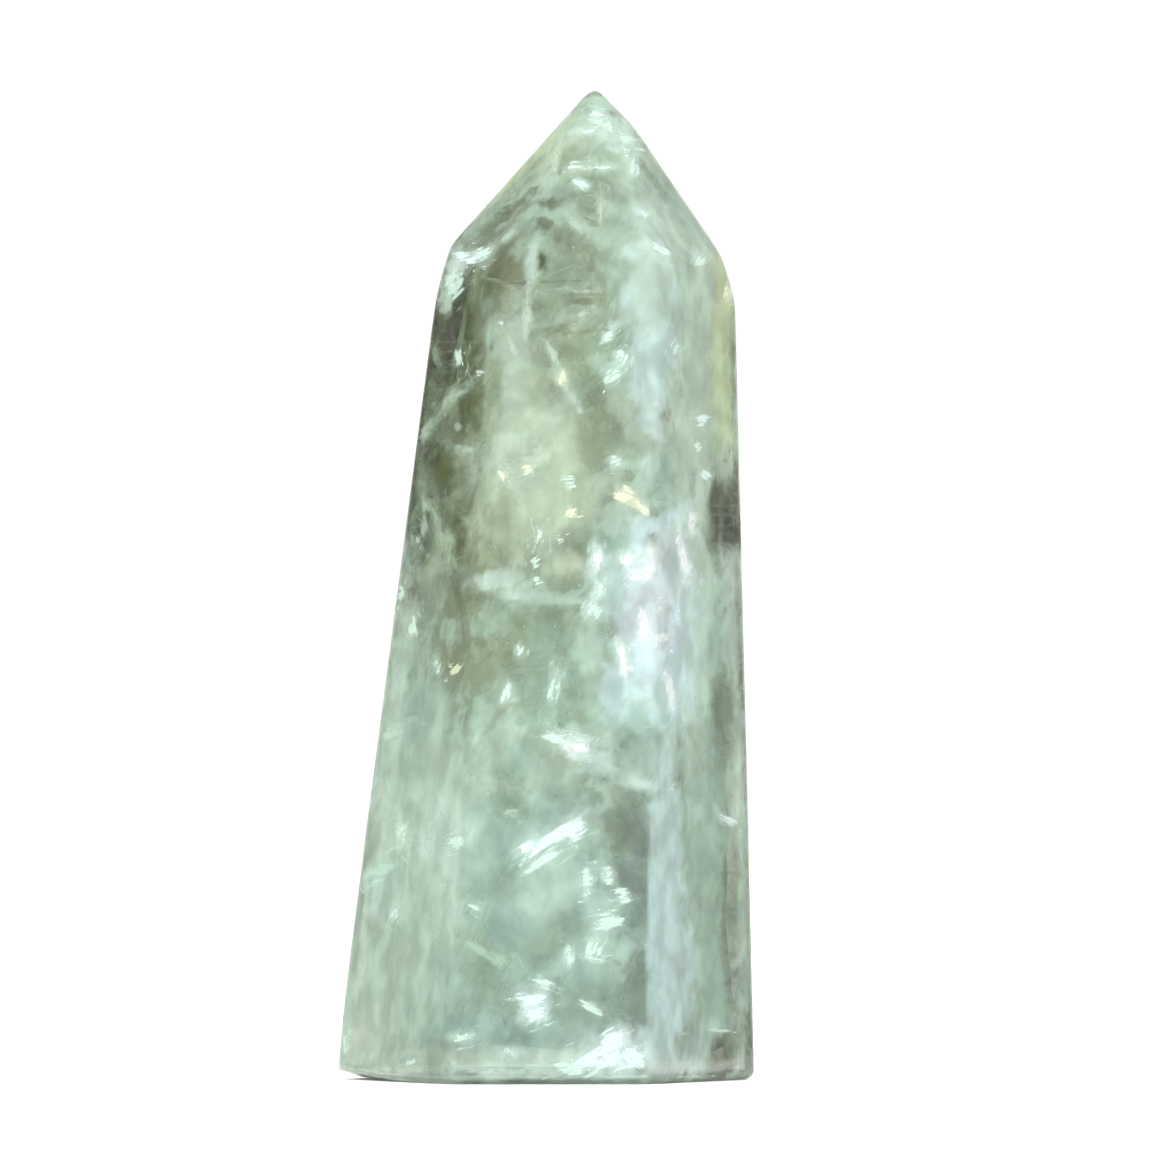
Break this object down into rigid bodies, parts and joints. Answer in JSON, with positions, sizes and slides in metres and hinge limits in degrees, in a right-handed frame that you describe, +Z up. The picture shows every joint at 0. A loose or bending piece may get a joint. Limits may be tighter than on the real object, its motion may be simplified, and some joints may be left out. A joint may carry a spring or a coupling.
{
  "type": "prasiolite tower",
  "caption": "Free-standing polished point of pale green quartz, with tapering sides, a faceted tip and a flat foot.",
  "frame": {"origin": "on the ground, under the middle of the outline box", "axes": "+Z up towards the tip, the longest way; +Y to the back, the shortest way; the stone leans towards +X"},
  "size_m": [0.0338, 0.0294, 0.08],
  "materials": {
    "prasiolite": "clear pale green quartz with healed cracks and sparkles inside, ground flat and polished"
  },
  "bodies": {
    "root": {"crystal_tower": "prasiolite"}
  },
  "joints": []
}
